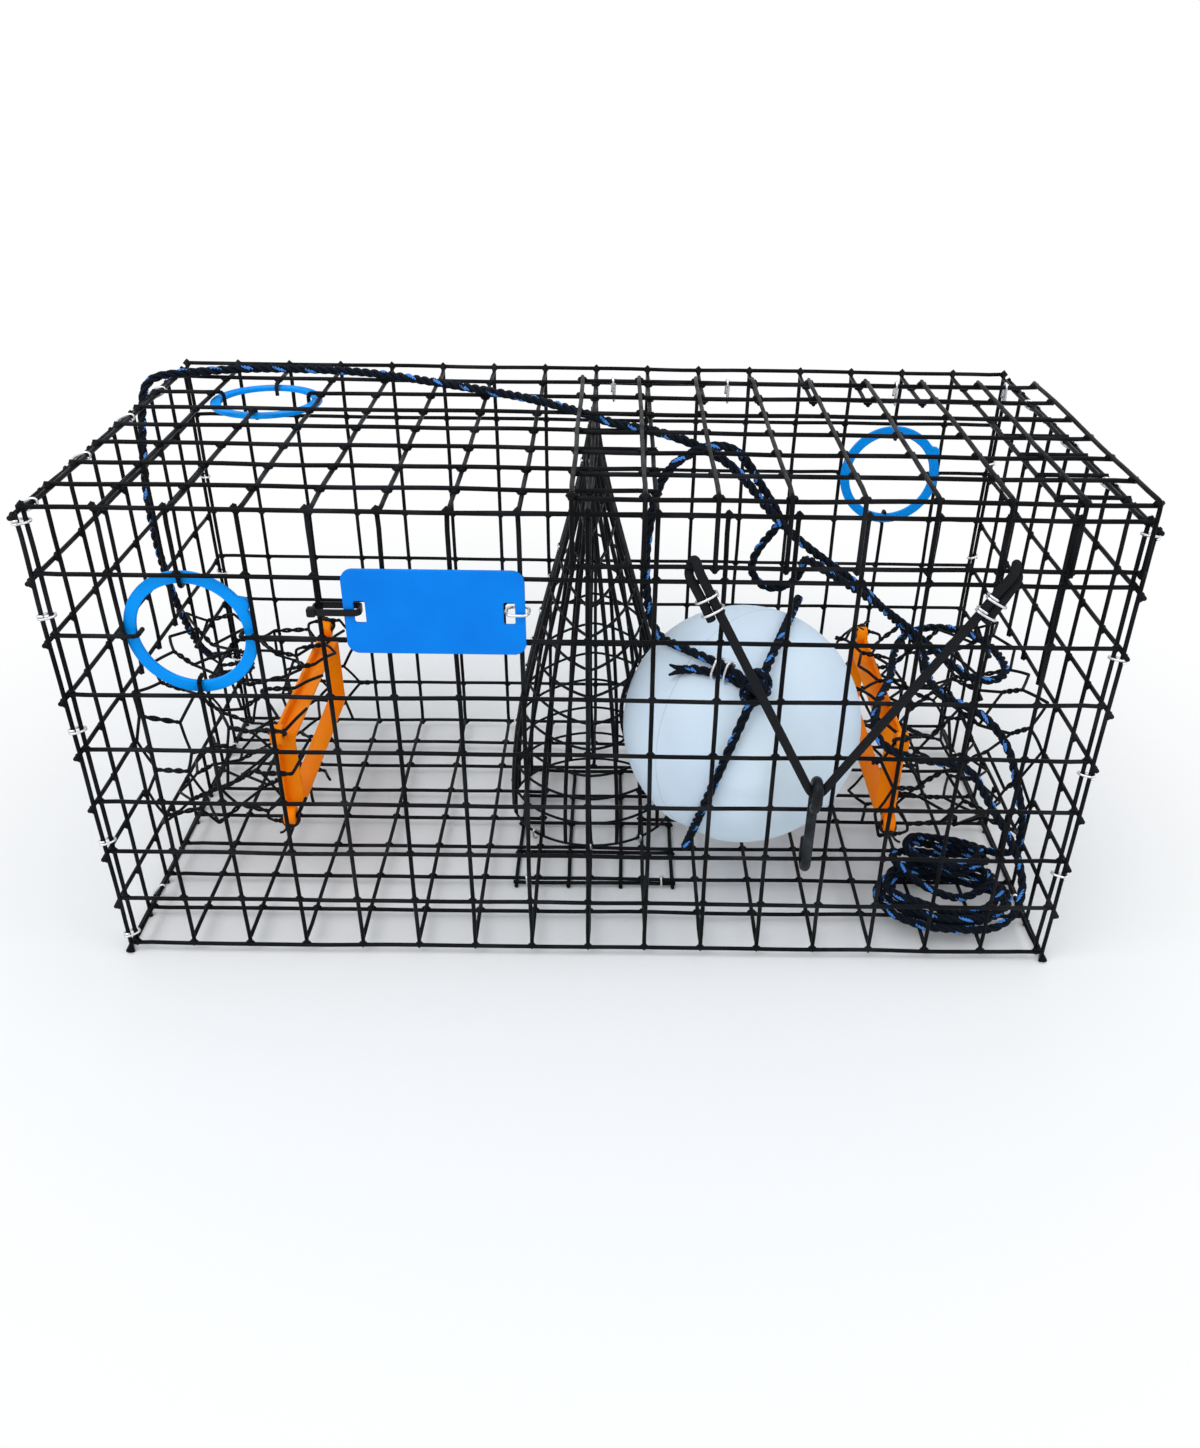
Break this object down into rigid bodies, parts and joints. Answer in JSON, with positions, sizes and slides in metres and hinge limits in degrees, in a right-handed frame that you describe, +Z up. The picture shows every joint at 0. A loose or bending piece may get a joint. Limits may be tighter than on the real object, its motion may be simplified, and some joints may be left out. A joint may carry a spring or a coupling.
{
  "type": "crab trap",
  "caption": "Wire mesh crab trap with a hinged top door held by a hook and bungee, bait well, side funnels, escape rings, float and line.",
  "frame": {"origin": "on the ground under the middle of the trap, measured without its line", "axes": "+X along the trap, -Y the side where the door latches, +Z up"},
  "size_m": [0.6395, 0.3418, 0.3274],
  "materials": {
    "coated_wire": "satin black plastic-coated steel wire",
    "coated_rod": "satin black coated steel rod",
    "netting": "black coated netting wire",
    "galvanised_ring": "bright galvanised",
    "orange_plastic": "satin orange",
    "blue_plastic": "satin blue",
    "tag_plastic": "satin blue",
    "black_nylon": "satin black",
    "bungee_sheath": "woven black sheath over elastic",
    "foam": "matt white closed-cell foam",
    "rope": "three-strand black rope with blue tracers"
  },
  "bodies": {
    "cage": {"front_panel": "coated_wire", "back_panel": "coated_wire", "top_panel": "coated_wire", "floor_panel": "coated_wire", "left_end_panel": "coated_wire", "right_end_panel": "coated_wire", "door_hinge_ring_1": "galvanised_ring", "door_hinge_ring_2": "galvanised_ring", "door_hinge_ring_3": "galvanised_ring", "door_hinge_ring_4": "galvanised_ring", "bait_hinge_ring_1": "galvanised_ring", "bait_hinge_ring_2": "galvanised_ring", "bait_well": "netting", "left_funnel": "netting", "right_funnel": "netting", "left_throat_frame": "orange_plastic", "right_throat_frame": "orange_plastic", "escape_ring_front": "blue_plastic", "escape_ring_back": "blue_plastic", "escape_ring_top": "blue_plastic", "tag": "tag_plastic", "cable_tie": "black_nylon", "tag_clip": "galvanised_ring", "float": "foam", "float_bridle": "rope", "float_knot": "rope", "line_trap_side": "rope", "line_heap": "rope", "line_float_side": "rope"},
    "door": {"door": "coated_wire"},
    "bungee": {"bungee_cord": "bungee_sheath", "bungee_clamp_left_1": "galvanised_ring", "bungee_clamp_left_2": "galvanised_ring", "bungee_clamp_right_1": "galvanised_ring", "bungee_clamp_right_2": "galvanised_ring"},
    "hook": {"hook": "coated_rod"},
    "bait_door": {"bait_door": "coated_wire"}
  },
  "joints": [
    {"name": "door_hinge", "type": "hinge", "parent": "cage", "child": "door", "pos_m": [0, 0.08555, 0.3229], "axis": [-1, 0, 0], "range_deg": [0, 170]},
    {"name": "bungee_swing", "type": "hinge", "parent": "door", "child": "bungee", "pos_m": [0, -0.14685, 0.2848], "axis": [-1, 0, 0], "range_deg": [0, 75]},
    {"name": "hook_pull", "type": "slide", "parent": "bungee", "child": "hook", "axis": [0, 0, -1], "range_m": [0, 0.02], "stiffness_N_per_m": 200, "springref_m": -0.03, "deforming": ["bungee_cord"]},
    {"name": "bait_door_hinge", "type": "hinge", "parent": "cage", "child": "bait_door", "pos_m": [0, -0.06685, 0.0048], "axis": [-1, 0, 0], "range_deg": [0, 90]}
  ]
}
